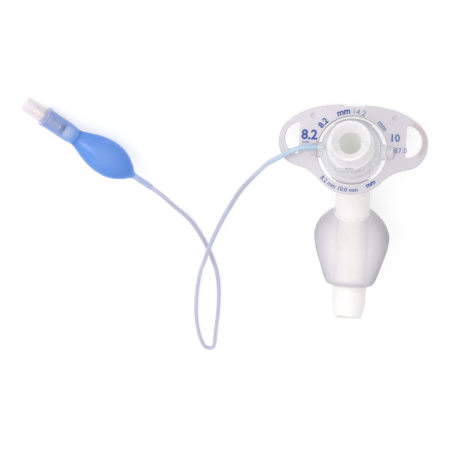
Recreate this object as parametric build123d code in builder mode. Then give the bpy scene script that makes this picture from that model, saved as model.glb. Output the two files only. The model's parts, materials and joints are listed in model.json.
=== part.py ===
"""Cuffed tracheostomy tube with a swivelling neck flange, a removable inner cannula and an inflation line.

The tube lies on its back, as it comes to rest on a table: on the belly of its cuff and on the top edge of
its flange, with the pilot balloon beside it. Lengths are in millimetres, +Z is up, and the origin is under
the middle of the tube, on the table.
"""

from build123d import *

import os
from math import asin, atan2, cos, degrees, pi, radians, sin, sqrt, tan

# Curved airway
BEND_RADIUS = 57.0
BEND_ANGLE = 93.0
TUBE_RADIUS = 7.1
TUBE_BORE_RADIUS = 5.0
TUBE_HEAD_LENGTH = 1.6
TIP_TAPER_ANGLE = 6.5
TIP_MIDDLE_RADIUS = 6.55
TIP_RADIUS = 5.5
TIP_ROUNDING = 0.25

# Inflation lumen in the airway's wall
LUMEN_RADIUS = 0.4
LUMEN_END_ANGLE = 60.0
VENT_RADIUS = 0.5

# Cuff
CUFF_START_ANGLE = 45.2
CUFF_END_ANGLE = 79.4
CUFF_NECK_ANGLE = 1.6
CUFF_WALL = 0.4
CUFF_MAX_RADIUS = 15.8
CUFF_SHARES = [
    (0.055, 0.69),
    (0.115, 0.83),
    (0.205, 0.94),
    (0.34, 1.0),
    (0.51, 0.96),
    (0.74, 0.815),
    (0.90, 0.70),
    (0.975, 0.60),
]

# Fits
BOND_GAP = 0.03
SLIDE_GAP = 0.1
SEAT_GAP = 0.15
OVERRUN = 1.0

# Swivel hub
COLLAR_RADIUS = 11.9
COLLAR_BOTTOM = -3.0
COLLAR_TOP = 1.4
MIDDLE_RING_RADIUS = 10.7
MIDDLE_RING_TOP = 5.2
TOP_RING_RADIUS = 9.3
TOP_RING_TOP = 6.6
SKIRT_BOTTOM = -7.0
SKIRT_RADIUS = 8.0
SKIRT_SHOULDER_RADIUS = 9.8
SKIRT_SHOULDER = -4.2
STOP_RADIUS = 12.5
STOP_WIDTH = 14.0
STOP_BOTTOM = -2.4
STOP_TOP = 0.9
LEDGE_RADIUS = 5.6
LEDGE_THICKNESS = 0.6
SOCKET_BOTTOM_RADIUS = 7.3
SOCKET_TOP_RADIUS = 8.3
HUB_ROUNDING = 0.35

# Swivel pins and bosses
PIN_SHOULDER_RADIUS = 3.0
PIN_SHOULDER_REACH = 12.8
PIN_RADIUS = 1.5
PIN_REACH = 14.5
PIN_GAP = 0.06
PIN_END_GAP = 0.2
BOSS_RADIUS = 2.6
BOSS_INNER_END = 13.0
BOSS_OUTER_END = 15.6

# Nipple for the inflation line
NIPPLE_HEIGHT = 4.2
NIPPLE_RADIUS = 1.7
NIPPLE_REACH = 12.6
NIPPLE_DEPTH = 2.6
PASSAGE_RADIUS = 0.45
PASSAGE_REACH = 9.4

# Neck flange
FLANGE_HALF_WIDTH = 28.4
FLANGE_TOP = 17.3
FLANGE_THICKNESS = 1.8
FLANGE_CURVE_RADIUS = 100.0
FLANGE_CROWN = 1.0
APERTURE_RADIUS = 13.3
RING_WIDTH = 3.3
BACK_RIM_WIDTH = 1.3
BACK_RIM_DEPTH = 1.2
FLANGE_ROUNDING = 0.5
RECESS_HALF_WIDTH = 4.1
RECESS_DEPTH = 0.6
SLOT_INNER_SHARE = 0.711
SLOT_RIM = 2.4
SLOT_TOP = 10.6
SLOT_BOTTOM = -1.8
SLOT_ROUNDING = 0.7
DIMPLE_X = 15.4
DIMPLE_Y = 12.9
DIMPLE_RADIUS = 0.9
DIMPLE_DEPTH = 0.5
SWIVEL_AT_REST = 10.0
OUTLINE_SHARES = [
    (0.27, 0.985),
    (0.49, 0.93),
    (0.77, 0.75),
    (0.955, 0.475),
    (1.0, 0.17),
    (0.955, -0.10),
    (0.865, -0.28),
    (0.625, -0.42),
    (0.465, -0.585),
]
RING_TURNS = (-57.0, -73.0)

# Inner cannula and its connector
LINER_WALL = 0.8
LINER_END_ANGLE = 91.5
CONNECTOR_LARGE_RADIUS = 7.73
CONNECTOR_SMALL_RADIUS = 7.53
CONNECTOR_LENGTH = 9.0
CONNECTOR_LAND_LENGTH = 2.6
CONNECTOR_SHOULDER_RADIUS = 8.8
CONNECTOR_SHOULDER_THICKNESS = 1.2
CONNECTOR_SOCKET_DEPTH = 2.6
MOUTH_RADIUS = 6.5
MOUTH_DEPTH = 0.8
FUNNEL_DEPTH = 4.0
MOUTH_ROUNDING = 0.3
NOTCH_WIDTH = 3.2
NOTCH_DEPTH = 0.7

# Inflation line: its radius, how far it goes into the tail, and where it runs between its two ends
LINE_RADIUS = 1.0
LINE_TAIL_INSERT = 5.5
LINE_TAIL_STRAIGHT = 5.0
LINE_NOSE = 4.9
CORNER_SHARE = 0.45
LINE_POINTS = [
    (-21.8, 35.0, 16.8),
    (-26.2, 32.6, 18.0),
    (-31.2, 27.6, 17.2),
    (-34.8, 19.6, 13.4),
    (-38.2, 10.0, 8.6),
    (-43.2, -1.5, 4.0),
    (-50.0, -15.0, 1.1),
    (-54.6, -25.0, 1.1),
    (-61.2, -38.8, 2.4),
    (-67.6, -54.0, 6.3),
    (-71.2, -65.5, 6.3),
    (-75.6, -80.0, 2.4),
    (-79.3, -95.4, 1.1),
    (-82.8, -114.0, 1.1),
    (-85.2, -132.0, 1.1),
    (-86.0, -148.0, 1.1),
    (-85.6, -158.5, 1.1),
    (-84.2, -165.6, 1.1),
    (-80.2, -165.4, 1.1),
    (-79.3, -158.2, 1.1),
    (-77.6, -146.0, 1.1),
    (-74.2, -131.0, 1.1),
    (-70.9, -113.0, 1.1),
    (-68.4, -96.0, 1.1),
    (-67.6, -80.0, 1.1),
    (-69.4, -62.0, 1.1),
    (-72.0, -48.6, 1.1),
    (-74.4, -39.0, 1.5),
    (-77.0, -30.0, 3.2),
    (-79.5, -19.5, 6.6),
]

# Pilot balloon, along its axis from the luer mouth
LUER_RADIUS = 3.05
VALVE_COLLAR_START = 8.9
VALVE_COLLAR_RADIUS = 4.15
VALVE_COLLAR_THICKNESS = 1.3
SLEEVE_RADIUS = 3.85
SLEEVE_WALL = 0.45
SLEEVE_END = 20.8
BALLOON_NECK = 23.9
BALLOON_NECK_RADIUS = 3.45
BALLOON_RADIUS = 7.45
BALLOON_LENGTH = 30.2
BALLOON_SHARES = [(0.14, 0.62), (0.33, 0.89), (0.56, 1.0), (0.72, 0.89), (0.83, 0.68), (0.92, 0.43)]
BELLY_SHARE = 0.56
TAIL_RADIUS = 1.3
TAIL_LENGTH = 9.2
PILOT_LIFT = 0.1
LUER_MOUTH_X = -131.4
LUER_MOUTH_Y = 40.2
PILOT_HEADING = -43.3

# Valve, along the same axis
LUER_MOUTH_RADIUS = 2.12
LUER_ENTRY_LENGTH = 3.0
LUER_THROAT_RADIUS = 1.9
LUER_DEPTH = 7.2
SEAT_RADIUS = 1.5
SEAT_END = 8.9
CHAMBER_RADIUS = 2.6
HOUSING_END = 19.4
PORT_ROUNDING = 0.3
STEM_START = 4.6
STEM_RADIUS = 1.15
HEAD_RADIUS = 2.3
HEAD_LENGTH = 2.0
GUIDE_RADIUS = 0.8
GUIDE_LENGTH = 2.4
SEAL_RADIUS = 1.75
SEAL_WIRE_RADIUS = 0.45
VALVE_GAP = 0.05
RETAINER_START = 17.6
RETAINER_THICKNESS = 1.2
RETAINER_HOLE_RADIUS = 0.95
RETAINER_SLOT_WIDTH = 0.7
RETAINER_SLOTS = 4
SPRING_RADIUS = 1.6
SPRING_WIRE_RADIUS = 0.16
SPRING_TURNS = 4.5


def belly_point(angle, radius):
    """The point of the bend's outer side, across and along the hub, at a radius from the centre line."""
    reach = BEND_RADIUS + radius
    return reach * cos(radians(angle)) - BEND_RADIUS, -reach * sin(radians(angle))


def height(across, along, tilt):
    """The height over the hub's centre of a point in the bend's plane, once the hub's axis is tilted."""
    return along * cos(radians(tilt)) - across * sin(radians(tilt))


def cuff_sections(wall):
    """The angle and radius of each round section of the cuff, drawn in by a wall."""
    span = CUFF_END_ANGLE - CUFF_START_ANGLE
    inset = degrees(wall / BEND_RADIUS)
    neck = TUBE_RADIUS + BOND_GAP + CUFF_WALL - wall
    sections = [(CUFF_START_ANGLE, neck)]
    for along_share, radius_share in CUFF_SHARES:
        angle = CUFF_START_ANGLE + inset + (span - 2 * inset) * along_share
        sections.append((angle, CUFF_MAX_RADIUS * radius_share - wall))
    sections.append((CUFF_END_ANGLE, neck))
    return sections


def edge_point():
    """The middle of the rounding on the flange's top back edge, across and along the hub's axis."""
    across = FLANGE_TOP - FLANGE_ROUNDING
    along = FLANGE_CROWN - FLANGE_THICKNESS / 2 + FLANGE_ROUNDING
    turn = radians(SWIVEL_AT_REST)
    return across * cos(turn) - along * sin(turn), across * sin(turn) + along * cos(turn)


def floor_levels(tilt):
    """How low the flange's edge and the cuff's belly reach below the hub's centre at a tilt."""
    edge = height(*edge_point(), tilt) - FLANGE_ROUNDING
    belly = min(height(*belly_point(*section), tilt) for section in cuff_sections(0))
    return edge, belly


def find_rest_tilt():
    """The tilt of the hub's axis from upright at which the edge and the belly touch one level floor."""
    low, high = 40.0, 89.0
    for _ in range(50):
        tilt = (low + high) / 2
        edge, belly = floor_levels(tilt)
        if edge > belly:
            low = tilt
        else:
            high = tilt
    return tilt


# Where the hub comes to rest
REST_TILT = find_rest_tilt()
MOUTH_HEIGHT = TOP_RING_TOP + SEAT_GAP + CONNECTOR_SHOULDER_THICKNESS + CONNECTOR_LENGTH
tilt_sin, tilt_cos = sin(radians(REST_TILT)), cos(radians(REST_TILT))
front_reach = MOUTH_HEIGHT * tilt_sin + CONNECTOR_SMALL_RADIUS * tilt_cos
back_reach = (BEND_RADIUS + TIP_RADIUS) * cos(radians(BEND_ANGLE + REST_TILT)) - BEND_RADIUS * tilt_cos
hub_centre = Vector(0, -(front_reach + back_reach) / 2, -floor_levels(REST_TILT)[0])

# The hub's own directions: across the page, up the page and out along its axis
HUB = Plane(origin=hub_centre, x_dir=(1, 0, 0), z_dir=(0, tilt_sin, tilt_cos))
SECTION = Plane(origin=hub_centre, x_dir=HUB.x_dir, z_dir=-HUB.y_dir)
HUB_AXIS = Axis(hub_centre, HUB.z_dir)
bend_centre = HUB.from_local_coords(Vector(0, -BEND_RADIUS, 0))
BEND_AXIS = Axis(bend_centre, -HUB.x_dir)


def bend_plane(angle):
    """The plane across the airway's centre line at an angle round the bend, facing down the airway."""
    turn = radians(angle)
    point = Vector(0, BEND_RADIUS * (cos(turn) - 1), -BEND_RADIUS * sin(turn))
    ahead = Vector(0, -sin(turn), -cos(turn))
    origin = HUB.from_local_coords(point)
    direction = HUB.from_local_coords(ahead) - hub_centre
    return Plane(origin=origin, x_dir=HUB.x_dir, z_dir=direction)


def side_plane(across, along, facing):
    """A plane at a distance across and along the hub, facing left or right along the swivel's axis."""
    return Plane(
        origin=HUB.from_local_coords(Vector(across, 0, along)),
        x_dir=HUB.y_dir,
        z_dir=HUB.x_dir * facing,
    )


def plate_sag(across):
    """How far the flange's curved plate falls back from its crown at a distance across."""
    return FLANGE_CURVE_RADIUS - sqrt(FLANGE_CURVE_RADIUS**2 - across**2)


os.makedirs("parts", exist_ok=True)

# Outer cannula: a ring carried round the bend, with a tapered tip
with BuildPart() as outer_cannula:
    with BuildSketch(HUB):
        Circle(TUBE_RADIUS)
    extrude(amount=TUBE_HEAD_LENGTH)
    with BuildSketch(HUB):
        Circle(TUBE_RADIUS)
    revolve(axis=BEND_AXIS, revolution_arc=BEND_ANGLE - TIP_TAPER_ANGLE)
    for taper_share, radius in ((0, TUBE_RADIUS), (0.5, TIP_MIDDLE_RADIUS), (1, TIP_RADIUS)):
        with BuildSketch(bend_plane(BEND_ANGLE - TIP_TAPER_ANGLE * (1 - taper_share))):
            Circle(radius)
    loft()
    tip_face = outer_cannula.faces().sort_by_distance(bend_plane(BEND_ANGLE).origin)[0]
    fillet(tip_face.edges(), TIP_ROUNDING)
    with BuildSketch(HUB):
        Circle(TUBE_BORE_RADIUS)
    extrude(amount=TUBE_HEAD_LENGTH + OVERRUN, mode=Mode.SUBTRACT)
    with BuildSketch(HUB):
        Circle(TUBE_BORE_RADIUS)
    revolve(axis=BEND_AXIS, revolution_arc=BEND_ANGLE + degrees(OVERRUN / BEND_RADIUS), mode=Mode.SUBTRACT)
    # The inflation lumen runs in the left wall from the hub's passage to a vent under the cuff
    lumen_x = -(TUBE_RADIUS + TUBE_BORE_RADIUS) / 2
    with BuildSketch(HUB):
        with Locations((lumen_x, 0)):
            Circle(LUMEN_RADIUS)
    revolve(axis=BEND_AXIS, revolution_arc=LUMEN_END_ANGLE, mode=Mode.SUBTRACT)
    vent_plane = bend_plane(LUMEN_END_ANGLE)
    with BuildSketch(Plane(origin=vent_plane.from_local_coords(Vector(lumen_x, 0, 0)), z_dir=-HUB.x_dir)):
        Circle(VENT_RADIUS)
    extrude(amount=TUBE_RADIUS + lumen_x + OVERRUN, mode=Mode.SUBTRACT)
    with BuildSketch(Plane(origin=HUB.from_local_coords(Vector(lumen_x, 0, 0)), z_dir=-HUB.x_dir)):
        Circle(PASSAGE_RADIUS)
    extrude(amount=TUBE_RADIUS + lumen_x + OVERRUN, mode=Mode.SUBTRACT)

# Cuff: a thin shell through round sections, with a bonded neck at each end
with BuildPart() as cuff:
    for angle, radius in cuff_sections(0):
        with BuildSketch(bend_plane(angle)):
            Circle(radius)
    loft()
    for angle, radius in cuff_sections(CUFF_WALL):
        with BuildSketch(bend_plane(angle)):
            Circle(radius)
    loft(mode=Mode.SUBTRACT)
    for angle in (CUFF_START_ANGLE - CUFF_NECK_ANGLE, CUFF_END_ANGLE):
        with BuildSketch(bend_plane(angle)):
            Circle(TUBE_RADIUS + BOND_GAP + CUFF_WALL)
            Circle(TUBE_RADIUS + BOND_GAP, mode=Mode.SUBTRACT)
        revolve(axis=BEND_AXIS, revolution_arc=CUFF_NECK_ANGLE)

# Swivel hub: a stepped clear collar with a conical socket, two stops, two pins and the line's nipple
head_top = TUBE_HEAD_LENGTH + BOND_GAP
ledge_top = head_top + LEDGE_THICKNESS
bonded_radius = TUBE_RADIUS + BOND_GAP
with BuildPart() as swivel_hub:
    with BuildSketch(SECTION) as hub_profile:
        with BuildLine():
            Polyline(
                (0, SKIRT_BOTTOM),
                (SKIRT_RADIUS, SKIRT_BOTTOM),
                (SKIRT_SHOULDER_RADIUS, SKIRT_SHOULDER),
                (COLLAR_RADIUS, COLLAR_BOTTOM),
                (COLLAR_RADIUS, COLLAR_TOP),
                (MIDDLE_RING_RADIUS, COLLAR_TOP),
                (MIDDLE_RING_RADIUS, MIDDLE_RING_TOP),
                (TOP_RING_RADIUS, MIDDLE_RING_TOP),
                (TOP_RING_RADIUS, TOP_RING_TOP),
                (SOCKET_TOP_RADIUS, TOP_RING_TOP),
                (SOCKET_BOTTOM_RADIUS, ledge_top),
                (LEDGE_RADIUS, ledge_top),
                (LEDGE_RADIUS, head_top),
                (0, head_top),
                close=True,
            )
        make_face()
        stepped_corners = (
            (COLLAR_RADIUS, COLLAR_BOTTOM),
            (COLLAR_RADIUS, COLLAR_TOP),
            (MIDDLE_RING_RADIUS, MIDDLE_RING_TOP),
            (TOP_RING_RADIUS, TOP_RING_TOP),
        )
        corners = [hub_profile.vertices().sort_by_distance(corner)[0] for corner in stepped_corners]
        fillet(corners, HUB_ROUNDING)
    revolve(axis=HUB_AXIS)
    with BuildSketch(HUB.offset(STOP_BOTTOM)):
        Circle(STOP_RADIUS)
        Rectangle(STOP_WIDTH, 2 * STOP_RADIUS, mode=Mode.INTERSECT)
    extrude(amount=STOP_TOP - STOP_BOTTOM)
    with BuildSketch(HUB):
        Circle(bonded_radius)
    extrude(amount=head_top, mode=Mode.SUBTRACT)
    with BuildSketch(HUB):
        Circle(bonded_radius)
    skirt_angle = degrees(asin((OVERRUN - SKIRT_BOTTOM) / BEND_RADIUS))
    revolve(axis=BEND_AXIS, revolution_arc=skirt_angle, mode=Mode.SUBTRACT)
    for side in (-1, 1):
        for radius, reach in ((PIN_SHOULDER_RADIUS, PIN_SHOULDER_REACH), (PIN_RADIUS, PIN_REACH)):
            start = COLLAR_RADIUS - OVERRUN
            with BuildSketch(side_plane(side * start, 0, side)):
                Circle(radius)
            extrude(amount=reach - start)
    nipple_start = MIDDLE_RING_RADIUS - OVERRUN
    with BuildSketch(side_plane(-nipple_start, NIPPLE_HEIGHT, -1)):
        Circle(NIPPLE_RADIUS)
    extrude(amount=NIPPLE_REACH - nipple_start)
    with BuildSketch(side_plane(-NIPPLE_REACH, NIPPLE_HEIGHT, 1)):
        Circle(LINE_RADIUS + BOND_GAP)
    extrude(amount=NIPPLE_DEPTH, mode=Mode.SUBTRACT)
    # The passage runs in from the nipple, down through the collar and in again to the airway's lumen
    with BuildSketch(side_plane(-NIPPLE_REACH, NIPPLE_HEIGHT, 1)):
        Circle(PASSAGE_RADIUS)
    extrude(amount=NIPPLE_REACH - PASSAGE_REACH, mode=Mode.SUBTRACT)
    with BuildSketch(HUB):
        with Locations((-PASSAGE_REACH, 0)):
            Circle(PASSAGE_RADIUS)
    extrude(amount=NIPPLE_HEIGHT, mode=Mode.SUBTRACT)
    with BuildSketch(side_plane(-PASSAGE_REACH, 0, 1)):
        Circle(PASSAGE_RADIUS)
    extrude(amount=PASSAGE_REACH - TUBE_RADIUS, mode=Mode.SUBTRACT)

# Neck flange: a curved plate of one outline, with a ring, two bosses, two strap slots and two dimples
flange_tilt = radians(REST_TILT - SWIVEL_AT_REST)
FLANGE = Plane(origin=hub_centre, x_dir=HUB.x_dir, z_dir=(0, sin(flange_tilt), cos(flange_tilt)))
flange_end = FLANGE.from_local_coords(Vector(0, 2 * FLANGE_TOP, 0))
FLANGE_SECTION = Plane(origin=flange_end, x_dir=HUB.x_dir, z_dir=-FLANGE.y_dir)
ring_radius = APERTURE_RADIUS + RING_WIDTH
ring_level = FLANGE_CROWN - plate_sag(APERTURE_RADIUS)
with BuildPart() as neck_flange:
    with BuildSketch(FLANGE_SECTION):
        with Locations((0, FLANGE_CROWN - FLANGE_CURVE_RADIUS)):
            Circle(FLANGE_CURVE_RADIUS + FLANGE_THICKNESS / 2)
            Circle(FLANGE_CURVE_RADIUS - FLANGE_THICKNESS / 2, mode=Mode.SUBTRACT)
    extrude(amount=4 * FLANGE_TOP)
    with BuildSketch(FLANGE.offset(-FLANGE_HALF_WIDTH)):
        with BuildLine():
            right_points = [(x * FLANGE_HALF_WIDTH, y * FLANGE_TOP) for x, y in OUTLINE_SHARES]
            for turn in RING_TURNS:
                right_points.append((ring_radius * cos(radians(turn)), ring_radius * sin(radians(turn))))
            left_points = [(-x, y) for x, y in reversed(right_points)]
            Spline((0, FLANGE_TOP), *right_points, (0, -ring_radius), *left_points, periodic=True)
        make_face()
    extrude(amount=2 * FLANGE_HALF_WIDTH, mode=Mode.INTERSECT)
    fillet(neck_flange.edges(), FLANGE_ROUNDING)
    with BuildSketch(FLANGE.offset(-FLANGE_TOP)):
        with Locations((0, FLANGE_TOP)):
            Rectangle(2 * RECESS_HALF_WIDTH, 2 * RECESS_DEPTH)
    extrude(amount=2 * FLANGE_TOP, mode=Mode.SUBTRACT)
    with BuildSketch(FLANGE.offset(ring_level - FLANGE_THICKNESS / 2 - BACK_RIM_DEPTH)):
        Circle(APERTURE_RADIUS + BACK_RIM_WIDTH)
    extrude(amount=BACK_RIM_DEPTH + FLANGE_THICKNESS / 2)
    with BuildSketch(FLANGE.offset(-FLANGE_TOP)):
        Circle(APERTURE_RADIUS)
    extrude(amount=2 * FLANGE_TOP, mode=Mode.SUBTRACT)
    for side in (-1, 1):
        with BuildSketch(side_plane(side * BOSS_INNER_END, 0, side)):
            Circle(BOSS_RADIUS)
        extrude(amount=BOSS_OUTER_END - BOSS_INNER_END)
        with BuildSketch(side_plane(side * BOSS_INNER_END, 0, side)):
            Circle(PIN_RADIUS + PIN_GAP)
        extrude(amount=PIN_REACH + PIN_END_GAP - BOSS_INNER_END, mode=Mode.SUBTRACT)
        with BuildSketch(FLANGE.offset(-FLANGE_TOP)) as slot:
            with BuildLine():
                slot_middle = (SLOT_TOP + SLOT_BOTTOM) / 2
                inner_x = side * FLANGE_HALF_WIDTH * SLOT_INNER_SHARE
                outer_x = side * (FLANGE_HALF_WIDTH - SLOT_RIM)
                ThreePointArc((inner_x, SLOT_TOP), (outer_x, slot_middle), (inner_x, SLOT_BOTTOM))
                Line((inner_x, SLOT_BOTTOM), (inner_x, SLOT_TOP))
            make_face()
            fillet(slot.vertices(), SLOT_ROUNDING)
        extrude(amount=2 * FLANGE_TOP, mode=Mode.SUBTRACT)
        dimple_level = FLANGE_CROWN + FLANGE_THICKNESS / 2 - plate_sag(DIMPLE_X) - DIMPLE_DEPTH
        with BuildSketch(FLANGE.offset(dimple_level)):
            with Locations((side * DIMPLE_X, DIMPLE_Y)):
                Circle(DIMPLE_RADIUS)
        extrude(amount=FLANGE_THICKNESS, mode=Mode.SUBTRACT)

# Inner cannula: a thin liner round the same bend
liner_radius = TUBE_BORE_RADIUS - SLIDE_GAP
plug_bottom = ledge_top + SEAT_GAP
liner_top = plug_bottom + CONNECTOR_SOCKET_DEPTH
with BuildPart() as inner_cannula:
    with BuildSketch(HUB):
        Circle(liner_radius)
        Circle(liner_radius - LINER_WALL, mode=Mode.SUBTRACT)
    extrude(amount=liner_top)
    with BuildSketch(HUB):
        Circle(liner_radius)
        Circle(liner_radius - LINER_WALL, mode=Mode.SUBTRACT)
    revolve(axis=BEND_AXIS, revolution_arc=LINER_END_ANGLE)

# Connector: a tapered plug, a notched shoulder and the 15 mm cone with its straight end and funnel mouth
shoulder_bottom = TOP_RING_TOP + SEAT_GAP
shoulder_top = shoulder_bottom + CONNECTOR_SHOULDER_THICKNESS
liner_bore = liner_radius - LINER_WALL
with BuildPart() as connector:
    with BuildSketch(SECTION) as connector_profile:
        with BuildLine():
            Polyline(
                (liner_radius + BOND_GAP, plug_bottom),
                (SOCKET_BOTTOM_RADIUS - SEAT_GAP, plug_bottom),
                (SOCKET_TOP_RADIUS - SEAT_GAP, shoulder_bottom),
                (CONNECTOR_SHOULDER_RADIUS, shoulder_bottom),
                (CONNECTOR_SHOULDER_RADIUS, shoulder_top),
                (CONNECTOR_LARGE_RADIUS, shoulder_top),
                (CONNECTOR_SMALL_RADIUS, MOUTH_HEIGHT - CONNECTOR_LAND_LENGTH),
                (CONNECTOR_SMALL_RADIUS, MOUTH_HEIGHT),
                (MOUTH_RADIUS, MOUTH_HEIGHT),
                (MOUTH_RADIUS, MOUTH_HEIGHT - MOUTH_DEPTH),
                (liner_bore, MOUTH_HEIGHT - FUNNEL_DEPTH),
                (liner_bore, liner_top + BOND_GAP),
                (liner_radius + BOND_GAP, liner_top + BOND_GAP),
                close=True,
            )
        make_face()
        rim_corners = ((CONNECTOR_SMALL_RADIUS, MOUTH_HEIGHT), (MOUTH_RADIUS, MOUTH_HEIGHT))
        fillet([connector_profile.vertices().sort_by_distance(corner)[0] for corner in rim_corners], MOUTH_ROUNDING)
    revolve(axis=HUB_AXIS)
    with BuildSketch(HUB.offset(shoulder_bottom)):
        with Locations((0, CONNECTOR_SHOULDER_RADIUS), (0, -CONNECTOR_SHOULDER_RADIUS)):
            Rectangle(NOTCH_WIDTH, 2 * NOTCH_DEPTH)
    extrude(amount=CONNECTOR_SHOULDER_THICKNESS, mode=Mode.SUBTRACT)

# Pilot balloon: one thin moulding of sleeve, neck, balloon and tail, lying on its belly and its collar
belly_at = BALLOON_NECK + BALLOON_LENGTH * BELLY_SHARE
pilot_rise = atan2(BALLOON_RADIUS - VALVE_COLLAR_RADIUS, belly_at - VALVE_COLLAR_START)
mouth_level = VALVE_COLLAR_RADIUS * cos(pilot_rise) - VALVE_COLLAR_START * sin(pilot_rise) + PILOT_LIFT
heading = radians(PILOT_HEADING)
pilot_direction = Vector(cos(heading) * cos(pilot_rise), sin(heading) * cos(pilot_rise), sin(pilot_rise))
PILOT = Plane(
    origin=(LUER_MOUTH_X, LUER_MOUTH_Y, mouth_level),
    x_dir=pilot_direction,
    z_dir=(sin(heading), -cos(heading), 0),
)
PILOT_AXIS = Axis(PILOT.origin, PILOT.x_dir)
sleeve_start = VALVE_COLLAR_START + VALVE_COLLAR_THICKNESS
balloon_end = BALLOON_NECK + BALLOON_LENGTH
tail_end = balloon_end + TAIL_LENGTH


def pilot_plane(along):
    """The plane across the pilot balloon's axis at a distance from the luer mouth."""
    return Plane(origin=PILOT.from_local_coords(Vector(along, 0, 0)), x_dir=PILOT.y_dir, z_dir=PILOT.x_dir)


def balloon_curve(wall):
    """The balloon's outline from the sleeve's end to the tail, drawn in by a wall."""
    swell = [(BALLOON_NECK + x * BALLOON_LENGTH, y * BALLOON_RADIUS - wall) for x, y in BALLOON_SHARES]
    return Spline(
        (SLEEVE_END, SLEEVE_RADIUS - wall),
        (BALLOON_NECK, BALLOON_NECK_RADIUS - wall),
        *swell,
        (balloon_end - wall, max(TAIL_RADIUS - wall, LINE_RADIUS + BOND_GAP)),
        tangents=((1, 0), (1, -0.7)),
    )


with BuildPart() as pilot_balloon:
    with BuildSketch(PILOT):
        with BuildLine():
            outer = balloon_curve(0)
            inner = balloon_curve(SLEEVE_WALL)
            sleeve_bore = SLEEVE_RADIUS - SLEEVE_WALL
            tail_bore = LINE_RADIUS + BOND_GAP
            Polyline(inner @ 0, (sleeve_start, sleeve_bore), (sleeve_start, SLEEVE_RADIUS), outer @ 0)
            Polyline(outer @ 1, (tail_end, TAIL_RADIUS), (tail_end, tail_bore), inner @ 1)
        make_face()
    revolve(axis=PILOT_AXIS)

# Valve housing: the luer port, its collar and the chamber inside the sleeve
with BuildPart() as valve_housing:
    body_radius = SLEEVE_RADIUS - SLEEVE_WALL - BOND_GAP
    with BuildSketch(PILOT) as housing_profile:
        with BuildLine():
            Polyline(
                (0, LUER_MOUTH_RADIUS),
                (0, LUER_RADIUS),
                (VALVE_COLLAR_START, LUER_RADIUS),
                (VALVE_COLLAR_START, VALVE_COLLAR_RADIUS),
                (sleeve_start - BOND_GAP, VALVE_COLLAR_RADIUS),
                (sleeve_start - BOND_GAP, body_radius),
                (HOUSING_END, body_radius),
                (HOUSING_END, CHAMBER_RADIUS),
                (SEAT_END, CHAMBER_RADIUS),
                (SEAT_END, SEAT_RADIUS),
                (LUER_DEPTH, SEAT_RADIUS),
                (LUER_DEPTH, LUER_THROAT_RADIUS),
                (LUER_ENTRY_LENGTH, LUER_MOUTH_RADIUS),
                close=True,
            )
        make_face()
        outer_corners = ((0, LUER_RADIUS), (VALVE_COLLAR_START, VALVE_COLLAR_RADIUS))
        corners = [housing_profile.vertices().sort_by_distance(corner)[0] for corner in outer_corners]
        fillet(corners, PORT_ROUNDING)
    revolve(axis=PILOT_AXIS)

# Valve plunger: a stem toward the mouth, a head behind the seat and a guide for the spring
head_start = SEAT_END + 2 * SEAL_WIRE_RADIUS + 2 * VALVE_GAP
head_end = head_start + HEAD_LENGTH
with BuildPart() as valve_plunger:
    with BuildSketch(pilot_plane(STEM_START)):
        Circle(STEM_RADIUS)
    extrude(amount=head_start - STEM_START)
    with BuildSketch(pilot_plane(head_start)):
        Circle(HEAD_RADIUS)
    extrude(amount=HEAD_LENGTH)
    with BuildSketch(pilot_plane(head_end)):
        Circle(GUIDE_RADIUS)
    extrude(amount=GUIDE_LENGTH)

# Valve seal: a rubber ring between the seat and the plunger's head
with BuildPart() as valve_seal:
    with BuildSketch(PILOT):
        with Locations((SEAT_END + VALVE_GAP + SEAL_WIRE_RADIUS, SEAL_RADIUS)):
            Circle(SEAL_WIRE_RADIUS)
    revolve(axis=PILOT_AXIS)

# Valve spring: an open coil from the plunger's head to the retainer
with BuildPart() as valve_spring:
    coil_start = head_end + VALVE_GAP + SPRING_WIRE_RADIUS
    coil_length = RETAINER_START - VALVE_GAP - SPRING_WIRE_RADIUS - coil_start
    with BuildLine():
        coil = Helix(
            pitch=coil_length / SPRING_TURNS,
            height=coil_length,
            radius=SPRING_RADIUS,
            center=pilot_plane(coil_start).origin,
            direction=PILOT.x_dir,
        )
    with BuildSketch(Plane(origin=coil @ 0, z_dir=coil % 0)):
        Circle(SPRING_WIRE_RADIUS)
    sweep(path=coil)

# Valve retainer: a slotted disc that holds the spring and lets air past
with BuildPart() as valve_retainer:
    with BuildSketch(pilot_plane(RETAINER_START)):
        Circle(CHAMBER_RADIUS - BOND_GAP)
        Circle(RETAINER_HOLE_RADIUS, mode=Mode.SUBTRACT)
        with PolarLocations(CHAMBER_RADIUS, RETAINER_SLOTS):
            Rectangle(CHAMBER_RADIUS, RETAINER_SLOT_WIDTH, mode=Mode.SUBTRACT)
    extrude(amount=RETAINER_THICKNESS)

# Inflation line: from the nipple over the wing, down to the table, round its loop and into the tail
line_start = HUB.from_local_coords(Vector(-(NIPPLE_REACH - NIPPLE_DEPTH + BOND_GAP), 0, NIPPLE_HEIGHT))
line_nose = HUB.from_local_coords(Vector(-(NIPPLE_REACH + LINE_NOSE), 0, NIPPLE_HEIGHT))
tail_lead = PILOT.from_local_coords(Vector(tail_end + LINE_TAIL_STRAIGHT, 0, 0))
tail_stop = PILOT.from_local_coords(Vector(tail_end - LINE_TAIL_INSERT, 0, 0))
line_points = [line_start, line_nose, *[Vector(*point) for point in LINE_POINTS], tail_lead, tail_stop]
line_radii = []
for before, corner, after in zip(line_points, line_points[1:], line_points[2:]):
    turn = radians((corner - before).get_angle(after - corner))
    shorter_run = min((corner - before).length, (after - corner).length)
    line_radii.append(CORNER_SHARE * shorter_run / tan(turn / 2))
with BuildPart() as inflation_line:
    with BuildLine() as route:
        FilletPolyline(*line_points, radius=line_radii)
    with BuildSketch(Plane(origin=line_start, z_dir=line_nose - line_start)):
        Circle(LINE_RADIUS)
    sweep(path=route.line)
line_length = sum(edge.length for edge in route.edges())
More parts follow.
